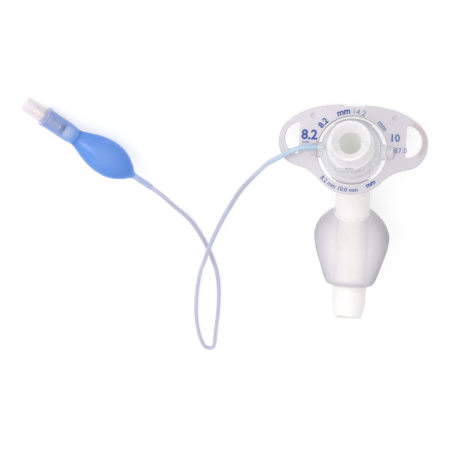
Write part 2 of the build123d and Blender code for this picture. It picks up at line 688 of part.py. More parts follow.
line_share = inflation_line.part.volume / (pi * LINE_RADIUS**2 * line_length)
print("line radii", [round(radius, 1) for radius in line_radii])
print("line length", round(line_length, 1), "volume over section times length", round(line_share, 4))

PIECES = {
    "outer_cannula": outer_cannula,
    "cuff": cuff,
    "swivel_hub": swivel_hub,
    "neck_flange": neck_flange,
    "inner_cannula": inner_cannula,
    "connector": connector,
    "pilot_balloon": pilot_balloon,
    "valve_housing": valve_housing,
    "valve_plunger": valve_plunger,
    "valve_seal": valve_seal,
    "valve_spring": valve_spring,
    "valve_retainer": valve_retainer,
    "inflation_line": inflation_line,
}
print("hub centre", hub_centre, "tilt", REST_TILT)
for name, piece in PIECES.items():
    piece.part.label = name
    export_step(piece.part, f"parts/{name}.step")
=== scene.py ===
"""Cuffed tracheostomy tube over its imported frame: finishes, print, cuff film, spring, line and studio.

All lengths are in metres, in the row frame: +X across the flange, +Y toward the connector, +Z up.
"""

from __future__ import annotations

import json
import logging
import math
from dataclasses import dataclass, field
from enum import Enum

import bmesh
import bpy
from mathutils import Matrix, Vector

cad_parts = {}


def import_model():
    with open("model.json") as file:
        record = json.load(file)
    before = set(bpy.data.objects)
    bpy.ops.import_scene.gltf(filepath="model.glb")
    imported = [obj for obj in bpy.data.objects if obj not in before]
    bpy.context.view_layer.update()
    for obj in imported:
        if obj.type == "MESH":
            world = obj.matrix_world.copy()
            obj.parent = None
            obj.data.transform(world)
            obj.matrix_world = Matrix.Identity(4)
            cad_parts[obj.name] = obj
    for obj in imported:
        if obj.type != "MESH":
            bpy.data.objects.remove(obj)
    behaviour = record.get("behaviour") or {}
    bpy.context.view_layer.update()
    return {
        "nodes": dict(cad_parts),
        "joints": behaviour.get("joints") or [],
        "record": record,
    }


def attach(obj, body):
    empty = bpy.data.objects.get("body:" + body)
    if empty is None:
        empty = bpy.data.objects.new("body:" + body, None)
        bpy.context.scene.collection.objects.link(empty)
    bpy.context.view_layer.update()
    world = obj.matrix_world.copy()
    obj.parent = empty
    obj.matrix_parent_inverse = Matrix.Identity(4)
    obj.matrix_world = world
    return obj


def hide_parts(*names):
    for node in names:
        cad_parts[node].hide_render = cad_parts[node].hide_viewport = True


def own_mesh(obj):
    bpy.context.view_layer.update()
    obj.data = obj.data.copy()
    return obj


LOG = logging.getLogger("tracheostomy_tube")
MM = 0.001

Colour = tuple[float, float, float]

# How soon a clear wall grows opaque as it turns away from the eye
EDGE_BLEND = 0.35

# How far inside the port's mouth the luer mount is stated
PORT_DEPTH = 1.5 * MM


class Body(Enum):
    """The rigid bodies that new pieces ride on."""

    TUBE = "tube"
    FLANGE = "flange"


class Weight(Enum):
    """How heavy a printed figure's stroke is, as an outline offset at a letter size of one."""

    LIGHT = -0.004
    PLAIN = 0.008
    BOLD = 0.032


# Frames of reference


@dataclass(frozen=True)
class Place:
    """A local frame: an origin and three unit directions, right, up and out.

    Attributes:
        origin: The frame's origin in the row frame.
        right: The direction of the first coordinate.
        up: The direction of the second coordinate.
        out: The direction of the third coordinate.
    """

    origin: Vector
    right: Vector
    up: Vector
    out: Vector

    def point(self, across: float, along: float, above: float) -> Vector:
        """The row-frame point at three local coordinates."""
        return self.origin + self.right * across + self.up * along + self.out * above

    @classmethod
    def facing(cls, origin: Vector, out: Vector, right: Vector) -> "Place":
        """A frame at an origin that faces out, with a given right-hand direction."""
        forward = out.normalized()
        return cls(origin, right.normalized(), forward.cross(right).normalized(), forward)


ACROSS = Place.facing(Vector(), Vector((1.0, 0.0, 0.0)), Vector((0.0, 0.0, 1.0)))


def found(entries: list[dict], name: str) -> dict:
    """The entry of a record's list that has a name."""
    return next(entry for entry in entries if entry["name"] == name)


# Shared shader groups


def socket(group: bpy.types.NodeTree, name: str, way: str, kind: str, default: object = None) -> None:
    """Adds a named socket to a node group.

    Args:
        group: The node group.
        name: The socket's name.
        way: INPUT or OUTPUT.
        kind: The socket's type, without its prefix.
        default: The value it starts at, if any.
    """
    made = group.interface.new_socket(name=name, in_out=way, socket_type=f"NodeSocket{kind}")
    if default is not None:
        made.default_value = default


def mottle_group() -> bpy.types.NodeTree:
    """A group that clouds a colour toward a second one, as moulded plastic varies in depth.

    Returns:
        The group, with inputs Colour, Tint, Scale and Amount, and the output Colour.
    """
    group = bpy.data.node_groups.new("moulded_mottle", "ShaderNodeTree")
    socket(group, "Colour", "INPUT", "Color", (0.8, 0.8, 0.8, 1.0))
    socket(group, "Tint", "INPUT", "Color", (0.7, 0.7, 0.7, 1.0))
    socket(group, "Scale", "INPUT", "Float", 120.0)
    socket(group, "Amount", "INPUT", "Float", 0.3)
    socket(group, "Colour", "OUTPUT", "Color")
    nodes, links = group.nodes, group.links
    entry, leave = nodes.new("NodeGroupInput"), nodes.new("NodeGroupOutput")
    place = nodes.new("ShaderNodeTexCoord")
    cloud = nodes.new("ShaderNodeTexNoise")
    cloud.inputs["Detail"].default_value = 3.0
    ramp = nodes.new("ShaderNodeMapRange")
    ramp.inputs["From Min"].default_value = 0.32
    ramp.inputs["From Max"].default_value = 0.68
    share = nodes.new("ShaderNodeMath")
    share.operation = "MULTIPLY"
    blend = nodes.new("ShaderNodeMix")
    blend.data_type = "RGBA"
    links.new(place.outputs["Object"], cloud.inputs["Vector"])
    links.new(entry.outputs["Scale"], cloud.inputs["Scale"])
    links.new(cloud.outputs["Fac"], ramp.inputs["Value"])
    links.new(ramp.outputs["Result"], share.inputs[0])
    links.new(entry.outputs["Amount"], share.inputs[1])
    links.new(share.outputs[0], blend.inputs[0])
    links.new(entry.outputs["Colour"], blend.inputs[6])
    links.new(entry.outputs["Tint"], blend.inputs[7])
    links.new(blend.outputs[2], leave.inputs["Colour"])
    return group


def grain_group() -> bpy.types.NodeTree:
    """A group that gives a moulded surface its fine grain and uneven gloss.

    Returns:
        The group, with inputs Scale, Roughness and Spread, and the outputs Height and Roughness.
    """
    group = bpy.data.node_groups.new("surface_grain", "ShaderNodeTree")
    socket(group, "Scale", "INPUT", "Float", 900.0)
    socket(group, "Roughness", "INPUT", "Float", 0.4)
    socket(group, "Spread", "INPUT", "Float", 0.08)
    socket(group, "Height", "OUTPUT", "Float")
    socket(group, "Roughness", "OUTPUT", "Float")
    nodes, links = group.nodes, group.links
    entry, leave = nodes.new("NodeGroupInput"), nodes.new("NodeGroupOutput")
    place = nodes.new("ShaderNodeTexCoord")
    fine = nodes.new("ShaderNodeTexNoise")
    fine.inputs["Detail"].default_value = 4.0
    broad = nodes.new("ShaderNodeTexNoise")
    broad.inputs["Scale"].default_value = 260.0
    centre = nodes.new("ShaderNodeMath")
    centre.operation = "SUBTRACT"
    centre.inputs[1].default_value = 0.5
    swing = nodes.new("ShaderNodeMath")
    swing.operation = "MULTIPLY_ADD"
    links.new(place.outputs["Object"], fine.inputs["Vector"])
    links.new(place.outputs["Object"], broad.inputs["Vector"])
    links.new(entry.outputs["Scale"], fine.inputs["Scale"])
    links.new(broad.outputs["Fac"], centre.inputs[0])
    links.new(centre.outputs[0], swing.inputs[0])
    links.new(entry.outputs["Spread"], swing.inputs[1])
    links.new(entry.outputs["Roughness"], swing.inputs[2])
    links.new(fine.outputs["Fac"], leave.inputs["Height"])
    links.new(swing.outputs[0], leave.inputs["Roughness"])
    return group


class Effects:
    """The shader groups that the finishes share, each built once."""

    mottle: bpy.types.NodeTree | None = None
    grain: bpy.types.NodeTree | None = None

    @classmethod
    def build(cls) -> None:
        """Builds the shared groups."""
        cls.mottle = mottle_group()
        cls.grain = grain_group()


# Finishes


@dataclass(frozen=True)
class Moulded:
    """A moulded or drawn plastic finish.

    Attributes:
        name: The material's name.
        colour: The linear base colour.
        tint: The second colour that clouds the first.
        mottle: How strongly the tint clouds the colour.
        mottle_scale: How fine the clouds are.
        roughness: The mean roughness.
        spread: How far the roughness varies.
        grain: How fine the surface grain is.
        grain_height: The grain's height in metres.
        coat: The weight of a clear top gloss.
        specular: The specular level.
        clear_face: The opacity where the surface faces the eye.
        clear_edge: The opacity where the surface turns away.
        metallic: The metal share, for the spring.
        subsurface: The weight of light that soaks in.
        painted_glow: The strength of a painted glow, an emission that stands in for light let through from
            behind.
        painted_glow_colour: The colour of that painted glow.
    """

    name: str
    colour: Colour
    tint: Colour
    mottle: float = 0.35
    mottle_scale: float = 140.0
    roughness: float = 0.4
    spread: float = 0.1
    grain: float = 1500.0
    grain_height: float = 0.00002
    coat: float = 0.0
    specular: float = 0.5
    clear_face: float = 1.0
    clear_edge: float = 1.0
    metallic: float = 0.0
    subsurface: float = 0.0
    painted_glow: float = 0.0
    painted_glow_colour: Colour = (1.0, 1.0, 1.0)

    def material(self) -> bpy.types.Material:
        """Builds the finish as a node material.

        Returns:
            The new material.
        """
        material = bpy.data.materials.new(self.name)
        material.use_nodes = True
        nodes, links = material.node_tree.nodes, material.node_tree.links
        shader = nodes["Principled BSDF"]
        shader.inputs["Metallic"].default_value = self.metallic
        shader.inputs["Coat Weight"].default_value = self.coat
        shader.inputs["Coat Roughness"].default_value = 0.12
        shader.inputs["Specular IOR Level"].default_value = self.specular
        shader.inputs["Subsurface Weight"].default_value = self.subsurface
        shader.inputs["Subsurface Radius"].default_value = (0.9, 0.9, 1.0)
        shader.inputs["Subsurface Scale"].default_value = 0.002
        # The emission is a painted glow: the part lights itself in place of light let through it from
        # behind.
        shader.inputs["Emission Color"].default_value = (*self.painted_glow_colour, 1.0)
        shader.inputs["Emission Strength"].default_value = self.painted_glow
        cloud = nodes.new("ShaderNodeGroup")
        cloud.node_tree = Effects.mottle
        cloud.inputs["Colour"].default_value = (*self.colour, 1.0)
        cloud.inputs["Tint"].default_value = (*self.tint, 1.0)
        cloud.inputs["Scale"].default_value = self.mottle_scale
        cloud.inputs["Amount"].default_value = self.mottle
        grain = nodes.new("ShaderNodeGroup")
        grain.node_tree = Effects.grain
        grain.inputs["Scale"].default_value = self.grain
        grain.inputs["Roughness"].default_value = self.roughness
        grain.inputs["Spread"].default_value = self.spread
        bump = nodes.new("ShaderNodeBump")
        bump.inputs["Distance"].default_value = self.grain_height
        bump.inputs["Strength"].default_value = 0.6
        links.new(cloud.outputs["Colour"], shader.inputs["Base Color"])
        links.new(grain.outputs["Roughness"], shader.inputs["Roughness"])
        links.new(grain.outputs["Height"], bump.inputs["Height"])
        links.new(bump.outputs["Normal"], shader.inputs["Normal"])
        if self.clear_edge < 1.0 or self.clear_face < 1.0:
            self.fade(nodes, links, shader)
        return material

    def fade(self, nodes: bpy.types.Nodes, links: bpy.types.NodeLinks, shader: bpy.types.Node) -> None:
        """Lets the floor show through, less where the wall is seen edge on.

        Args:
            nodes: The material's nodes.
            links: The material's links.
            shader: The shader whose opacity is set.
        """
        turn = nodes.new("ShaderNodeLayerWeight")
        turn.inputs["Blend"].default_value = EDGE_BLEND
        opacity = nodes.new("ShaderNodeMapRange")
        opacity.inputs["To Min"].default_value = self.clear_face
        opacity.inputs["To Max"].default_value = self.clear_edge
        links.new(turn.outputs["Facing"], opacity.inputs["Value"])
        links.new(opacity.outputs["Result"], shader.inputs["Alpha"])


@dataclass(frozen=True)
class Stop:
    """One place along a film, with the colour and opacity it has there.

    Attributes:
        along: The distance along the axis in metres, or the attribute's value.
        colour: The linear colour.
        opacity: The opacity where the surface faces the eye.
    """

    along: float
    colour: Colour
    opacity: float


@dataclass(frozen=True)
class Film(Moulded):
    """A film whose colour and depth change from place to place on the piece.

    Attributes:
        stops: The places where it changes, in order along an axis or through an attribute's values.
        edge: The opacity where the film turns away from the eye.
    """

    stops: tuple[Stop, ...] = ()
    edge: float = 0.95

    def along(self, axis: Place) -> bpy.types.Material:
        """Builds the film along an axis.

        Args:
            axis: The frame whose third direction the film follows, from its origin.

        Returns:
            The new material.
        """
        material = self.material()
        nodes, links = material.node_tree.nodes, material.node_tree.links
        place = nodes.new("ShaderNodeTexCoord")
        shift = nodes.new("ShaderNodeVectorMath")
        shift.operation = "SUBTRACT"
        shift.inputs[1].default_value = axis.origin
        distance = nodes.new("ShaderNodeVectorMath")
        distance.operation = "DOT_PRODUCT"
        distance.inputs[1].default_value = axis.out
        links.new(place.outputs["Object"], shift.inputs[0])
        links.new(shift.outputs[0], distance.inputs[0])
        return self.graded(material, distance.outputs["Value"])

    def through(self, attribute: str) -> bpy.types.Material:
        """Builds the film by a number that the mesh carries at each point.

        Args:
            attribute: The attribute's name.

        Returns:
            The new material.
        """
        material = self.material()
        carried = material.node_tree.nodes.new("ShaderNodeAttribute")
        carried.attribute_name = attribute
        return self.graded(material, carried.outputs["Fac"])

    def graded(self, material: bpy.types.Material, value: bpy.types.NodeSocket) -> bpy.types.Material:
        """Lays the stops' colours and opacities over a material.

        Args:
            material: The film's plain material.
            value: The socket that says how far along the stops a place is.

        Returns:
            The same material.
        """
        nodes, links = material.node_tree.nodes, material.node_tree.links
        shader = nodes["Principled BSDF"]
        cloud = shader.inputs["Base Color"].links[0].from_node
        share = nodes.new("ShaderNodeMapRange")
        first, last = self.stops[0].along, self.stops[-1].along
        share.inputs["From Min"].default_value = first
        share.inputs["From Max"].default_value = last
        ramp = nodes.new("ShaderNodeValToRGB")
        points = ramp.color_ramp.elements
        while len(points) < len(self.stops):
            points.new(0.5)
        for point, stop in zip(points, self.stops):
            point.position = (stop.along - first) / (last - first)
        for point, stop in zip(points, self.stops):
            point.color = (*stop.colour, stop.opacity)
        turn = nodes.new("ShaderNodeLayerWeight")
        turn.inputs["Blend"].default_value = EDGE_BLEND
        opacity = nodes.new("ShaderNodeMapRange")
        opacity.inputs["To Max"].default_value = self.edge
        links.new(value, share.inputs["Value"])
        links.new(share.outputs["Result"], ramp.inputs["Fac"])
        links.new(ramp.outputs["Color"], cloud.inputs["Colour"])
        links.new(ramp.outputs["Alpha"], opacity.inputs["To Min"])
        links.new(turn.outputs["Facing"], opacity.inputs["Value"])
        links.new(opacity.outputs["Result"], shader.inputs["Alpha"])
        return material


AIRWAY = Moulded(
    "airway_plastic",
    (0.870, 0.845, 0.840),
    (0.83, 0.805, 0.81),
    mottle=0.25,
    roughness=0.38,
    coat=0.08,
    subsurface=0.2,
)
# The cuff film's colour is painted shade: its stops run from near white at 0, over the film's top, to
# grey-lilac at 1, down its sides and at the lower neck. A faint painted glow lifts it all.
CUFF_FILM = Film(
    "cuff_film",
    (0.80, 0.78, 0.80),
    (0.70, 0.68, 0.74),
    mottle=0.08,
    mottle_scale=60.0,
    roughness=0.42,
    grain=2200.0,
    grain_height=0.000004,
    specular=0.3,
    painted_glow=0.05,
    edge=0.86,
    stops=(
        Stop(0.0, (1.0, 0.99, 0.98), 0.27),
        Stop(0.26, (1.0, 0.98, 0.975), 0.28),
        Stop(0.54, (0.84, 0.80, 0.85), 0.36),
        Stop(0.80, (0.67, 0.64, 0.70), 0.44),
        Stop(1.0, (0.36, 0.35, 0.39), 0.58),
    ),
)
# The hub carries a faint painted glow.
HUB_CLEAR = Moulded(
    "hub_clear",
    (0.76, 0.75, 0.79),
    (0.68, 0.68, 0.73),
    mottle=0.25,
    roughness=0.16,
    spread=0.05,
    grain_height=0.000001,
    coat=0.5,
    clear_face=0.44,
    clear_edge=0.92,
    painted_glow=0.03,
)
FLANGE_SOFT = Moulded(
    "flange_soft",
    (0.605, 0.575, 0.620),
    (0.570, 0.540, 0.590),
    mottle_scale=45.0,
    roughness=0.46,
    coat=0.05,
    subsurface=0.15,
)
# The liner glows with painted light, an emission in place of the light let in through the translucent
# walls, so the deep bore stays pale.
LINER = Moulded(
    "liner_plastic",
    (0.56, 0.565, 0.53),
    (0.52, 0.53, 0.50),
    roughness=0.40,
    painted_glow=0.46,
    painted_glow_colour=(0.50, 0.505, 0.49),
)
# A faint painted glow keeps the connector pale inside.
CONNECTOR_WHITE = Moulded(
    "connector_white",
    (0.86, 0.845, 0.855),
    (0.81, 0.80, 0.815),
    mottle=0.2,
    roughness=0.25,
    grain_height=0.000002,
    coat=0.25,
    subsurface=0.3,
    painted_glow=0.08,
    clear_face=0.60,
    clear_edge=0.82,
)
# Across x the line is painted darker, as painted shade, around 45 mm left of the middle, where it falls
# from the hub to the floor; it is paler further out and bluer near the nipple.
LINE_CLEAR = Film(
    "line_plastic",
    (0.60, 0.60, 0.84),
    (0.56, 0.57, 0.80),
    mottle=0.25,
    mottle_scale=90.0,
    roughness=0.24,
    grain_height=0.000005,
    coat=0.3,
    stops=(
        Stop(-92.0 * MM, (0.66, 0.65, 0.82), 0.62),
        Stop(-70.0 * MM, (0.58, 0.58, 0.76), 0.74),
        Stop(-45.0 * MM, (0.50, 0.50, 0.68), 0.78),
        Stop(-34.0 * MM, (0.56, 0.61, 0.78), 0.74),
        Stop(-26.0 * MM, (0.52, 0.66, 0.80), 0.66),
        Stop(-12.0 * MM, (0.46, 0.66, 0.82), 0.66),
    ),
)
BALLOON_BLUE = Film(
    "balloon_film",
    (0.10, 0.28, 0.74),
    (0.12, 0.38, 0.92),
    mottle=0.3,
    mottle_scale=55.0,
    roughness=0.25,
    grain_height=0.000004,
    coat=0.35,
    edge=0.95,
    stops=(
        Stop(10.2 * MM, (0.34, 0.43, 0.86), 0.32),
        Stop(12.6 * MM, (0.28, 0.42, 0.92), 0.15),
        Stop(19.8 * MM, (0.28, 0.45, 0.94), 0.15),
        Stop(21.6 * MM, (0.30, 0.52, 0.96), 0.26),
        Stop(23.6 * MM, (0.20, 0.46, 0.96), 0.46),
        Stop(24.6 * MM, (0.03, 0.19, 0.68), 0.64),
        Stop(25.8 * MM, (0.09, 0.33, 0.91), 0.43),
        Stop(38.0 * MM, (0.10, 0.35, 0.93), 0.38),
        Stop(50.0 * MM, (0.07, 0.29, 0.86), 0.50),
        Stop(53.2 * MM, (0.18, 0.40, 0.90), 0.58),
        Stop(55.0 * MM, (0.62, 0.68, 0.94), 0.50),
        Stop(63.0 * MM, (0.64, 0.68, 0.92), 0.45),
    ),
)
PORT_CLEAR = Film(
    "port_plastic",
    (0.90, 0.82, 0.86),
    (0.84, 0.78, 0.84),
    mottle=0.3,
    roughness=0.16,
    spread=0.04,
    grain_height=0.000001,
    coat=0.4,
    edge=0.90,
    stops=(
        Stop(0.0, (0.86, 0.77, 0.84), 0.22),
        Stop(8.2 * MM, (0.84, 0.75, 0.83), 0.18),
        Stop(8.9 * MM, (0.50, 0.54, 0.92), 0.44),
        Stop(10.3 * MM, (0.44, 0.50, 0.92), 0.40),
        Stop(11.0 * MM, (0.62, 0.70, 0.98), 0.13),
        Stop(20.0 * MM, (0.62, 0.70, 0.98), 0.13),
    ),
)
# The plunger carries a painted glow that keeps it showing through the port.
PLUNGER_CREAM = Moulded("plunger_cream", (0.92, 0.90, 0.80), (0.86, 0.83, 0.72), roughness=0.3, painted_glow=0.15)
SEAL_BLACK = Moulded("seal_rubber", (0.03, 0.03, 0.035), (0.05, 0.05, 0.05), roughness=0.6)
SPRING_STEEL = Moulded("spring_steel", (0.60, 0.61, 0.63), (0.5, 0.5, 0.52), roughness=0.25, metallic=1.0)
PRINT_BLUE = Moulded("print_blue", (0.012, 0.055, 0.30), (0.02, 0.075, 0.36), roughness=0.5)
PRINT_PALE = Moulded("print_pale", (0.10, 0.16, 0.36), (0.14, 0.20, 0.40), roughness=0.5)
PRINT_TAN = Moulded("print_tan", (0.52, 0.26, 0.06), (0.46, 0.22, 0.05), roughness=0.5)


# Mesh helpers


def add_piece(
    name: str, mesh: bpy.types.Mesh, material: bpy.types.Material, body: Body
) -> bpy.types.Object:
    """Links a finished mesh as a piece, gives it its finish and sets it on its body.

    Args:
        name: The piece's name.
        mesh: The mesh, already in the row frame.
        material: The finish.
        body: The body it rides on.

    Returns:
        The new piece.
    """
    mesh.materials.clear()
    mesh.materials.append(material)
    piece = bpy.data.objects.new(name, mesh)
    bpy.context.scene.collection.objects.link(piece)
    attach(piece, body.value)
    LOG.info("piece %s: %d faces on %s", name, len(mesh.polygons), body.value)
    return piece


def evaluated(piece: bpy.types.Object) -> bpy.types.Mesh:
    """The plain mesh that an object makes, after which the object is removed."""
    graph = bpy.context.evaluated_depsgraph_get()
    mesh = bpy.data.meshes.new_from_object(piece.evaluated_get(graph))
    bpy.data.objects.remove(piece)
    return mesh


# The printed flange


@dataclass
class FlangePrint:
    """The sizes printed on the flange's front, round its ring and along its right-hand rim.

    Attributes:
        flange: The flange's own frame, at the swivel's centre.
        curve_radius: The radius of the plate's front face.
        crown: The height of the front face on the middle line.
        lift: How far the ink stands over the plate.
        ink: The ink's thickness.
    """

    flange: Place
    curve_radius: float = 100.9 * MM
    crown: float = 1.9 * MM
    lift: float = 0.02 * MM
    ink: float = 0.05 * MM

    def surface(self, across: float, along: float, above: float) -> Vector:
        """The row-frame point over the plate's front face."""
        fall = self.curve_radius - math.sqrt(self.curve_radius**2 - across**2)
        return self.flange.point(across, along, self.crown - fall + self.lift + above)

    def figures(self, text: str, width: float, weight: Weight) -> bpy.types.Mesh:
        """Sets a plain figure as a flat mesh, centred on its own middle.

        Args:
            text: The figure.
            width: How wide the whole figure is, in metres.
            weight: How heavy the stroke is.

        Returns:
            The mesh, in metres.
        """
        curve = bpy.data.curves.new("figure", "FONT")
        curve.body = text
        curve.resolution_u = 3
        curve.offset = weight.value
        curve.extrude = 0.5
        piece = bpy.data.objects.new("figure", curve)
        bpy.context.scene.collection.objects.link(piece)
        mesh = evaluated(piece)
        across = [vertex.co.x for vertex in mesh.vertices]
        along = [vertex.co.y for vertex in mesh.vertices]
        scale = width / (max(across) - min(across))
        middle_x, middle_y = (max(across) + min(across)) / 2, (max(along) + min(along)) / 2
        for vertex in mesh.vertices:
            spot = vertex.co
            vertex.co = ((spot.x - middle_x) * scale, (spot.y - middle_y) * scale, spot.z * self.ink)
        return mesh

    def set_round(self, mesh: bpy.types.Mesh, radius: float, angle: float, upright: bool) -> None:
        """Bends a flat mesh round the ring and lays it on the plate.

        Args:
            mesh: The flat mesh.
            radius: The radius of its middle line round the swivel's centre.
            angle: The angle of its middle, in degrees from the right.
            upright: Whether its top points away from the centre.
        """
        way = 1.0 if upright else -1.0
        for vertex in mesh.vertices:
            turn = math.radians(angle) - way * vertex.co.x / radius
            reach = radius + way * vertex.co.y
            above = vertex.co.z + self.ink / 2
            vertex.co = self.surface(reach * math.cos(turn), reach * math.sin(turn), above)

    def set_flat(self, mesh: bpy.types.Mesh, across: float, along: float, angle: float) -> None:
        """Lays a flat mesh on the plate, turned by an angle in degrees."""
        turn = Matrix.Rotation(math.radians(angle), 3, "Z")
        for vertex in mesh.vertices:
            spot = turn @ vertex.co
            vertex.co = self.surface(across + spot.x, along + spot.y, spot.z + self.ink / 2)

    def ticks_tree(self, material: bpy.types.Material) -> bpy.types.NodeTree:
        """A node tree that repeats a small bar along an arc.

        Args:
            material: The bars' ink.

        Returns:
            The tree, with inputs Radius, Start, Sweep, Count, Width, Length and Ink.
        """
        tree = bpy.data.node_groups.new("rim_ticks", "GeometryNodeTree")
        for name, kind in (
            ("Radius", "Float"),
            ("Start", "Float"),
            ("Sweep", "Float"),
            ("Count", "Int"),
            ("Width", "Float"),
            ("Length", "Float"),
            ("Ink", "Float"),
        ):
            socket(tree, name, "INPUT", kind)
        socket(tree, "Geometry", "OUTPUT", "Geometry")
        nodes, links = tree.nodes, tree.links
        entry, leave = nodes.new("NodeGroupInput"), nodes.new("NodeGroupOutput")
        arc = nodes.new("GeometryNodeCurveArc")
        points = nodes.new("GeometryNodeCurveToPoints")
        points.mode = "COUNT"
        bar = nodes.new("GeometryNodeMeshCube")
        size = nodes.new("ShaderNodeCombineXYZ")
        repeat = nodes.new("GeometryNodeInstanceOnPoints")
        real = nodes.new("GeometryNodeRealizeInstances")
        ink = nodes.new("GeometryNodeSetMaterial")
        ink.inputs["Material"].default_value = material
        for source, target in (
            (entry.outputs["Radius"], arc.inputs["Radius"]),
            (entry.outputs["Start"], arc.inputs["Start Angle"]),
            (entry.outputs["Sweep"], arc.inputs["Sweep Angle"]),
            (arc.outputs["Curve"], points.inputs["Curve"]),
            (entry.outputs["Count"], points.inputs["Count"]),
            (entry.outputs["Width"], size.inputs["X"]),
            (entry.outputs["Length"], size.inputs["Y"]),
            (entry.outputs["Ink"], size.inputs["Z"]),
            (size.outputs["Vector"], bar.inputs["Size"]),
            (points.outputs["Points"], repeat.inputs["Points"]),
            (points.outputs["Rotation"], repeat.inputs["Rotation"]),
            (bar.outputs["Mesh"], repeat.inputs["Instance"]),
            (repeat.outputs["Instances"], real.inputs["Geometry"]),
            (real.outputs["Geometry"], ink.inputs["Geometry"]),
            (ink.outputs["Geometry"], leave.inputs["Geometry"]),
        ):
            links.new(source, target)
        return tree

    def ticks(self, material: bpy.types.Material) -> bpy.types.Mesh:
        """The rim's row of ticks, still flat and centred on the rim's own arc."""
        tree = self.ticks_tree(material)
        holder = bpy.data.objects.new("ticks", bpy.data.meshes.new("ticks"))
        bpy.context.scene.collection.objects.link(holder)
        modifier = holder.modifiers.new("ticks", "NODES")
        modifier.node_group = tree
        sizes = {
            "Radius": 7.2 * MM,
            "Start": math.radians(-40.0),
            "Sweep": math.radians(108.0),
            "Count": 17,
            "Width": 1.5 * MM,
            "Length": 0.36 * MM,
            "Ink": self.ink,
        }
        for item in tree.interface.items_tree:
            if item.in_out == "INPUT":
                modifier[item.identifier] = sizes[item.name]
        return evaluated(holder)

    def build(self) -> None:
        """Prints every figure and the row of ticks."""
        blue, pale, tan = PRINT_BLUE.material(), PRINT_PALE.material(), PRINT_TAN.material()
        for name, text, width, weight, material, radius, angle, upright in (
            ("size_upper_left", "8.2", 3.9, Weight.BOLD, blue, 15.2, 138.0, True),
            ("unit_top", "mm", 4.9, Weight.BOLD, blue, 14.8, 104.5, True),
            ("size_top", "14.2", 4.6, Weight.LIGHT, pale, 14.8, 81.0, True),
            ("unit_upper_right", "mm", 4.1, Weight.PLAIN, pale, 14.6, 42.0, True),
            ("sizes_lower", "8.2 mm 10.0 mm", 15.2, Weight.PLAIN, blue, 14.8, -107.0, False),
            ("unit_lower_right", "mm", 3.6, Weight.BOLD, blue, 14.6, -57.0, False),
        ):
            mesh = self.figures(text, width * MM, weight)
            self.set_round(mesh, radius * MM, angle, upright)
            add_piece(name, mesh, material, Body.FLANGE)
        for name, text, width, weight, material, across, along, angle in (
            ("size_left_wing", "8.2", 6.2, Weight.BOLD, blue, -16.3, 5.6, 0.0),
            ("unit_left_wing", "mm", 2.6, Weight.PLAIN, pale, -17.6, 2.6, 0.0),
            ("size_right_wing", "10", 3.2, Weight.BOLD, pale, 16.2, 5.6, 2.0),
            ("length_right_wing", "87.0", 4.6, Weight.LIGHT, pale, 18.3, 1.0, 4.0),
        ):
            mesh = self.figures(text, width * MM, weight)
            self.set_flat(mesh, across * MM, along * MM, angle)
            add_piece(name, mesh, material, Body.FLANGE)
        ticks = self.ticks(tan)
        self.set_flat(ticks, 20.0 * MM, 4.2 * MM, 0.0)
        add_piece("rim_ticks", ticks, tan, Body.FLANGE)


# The cuff


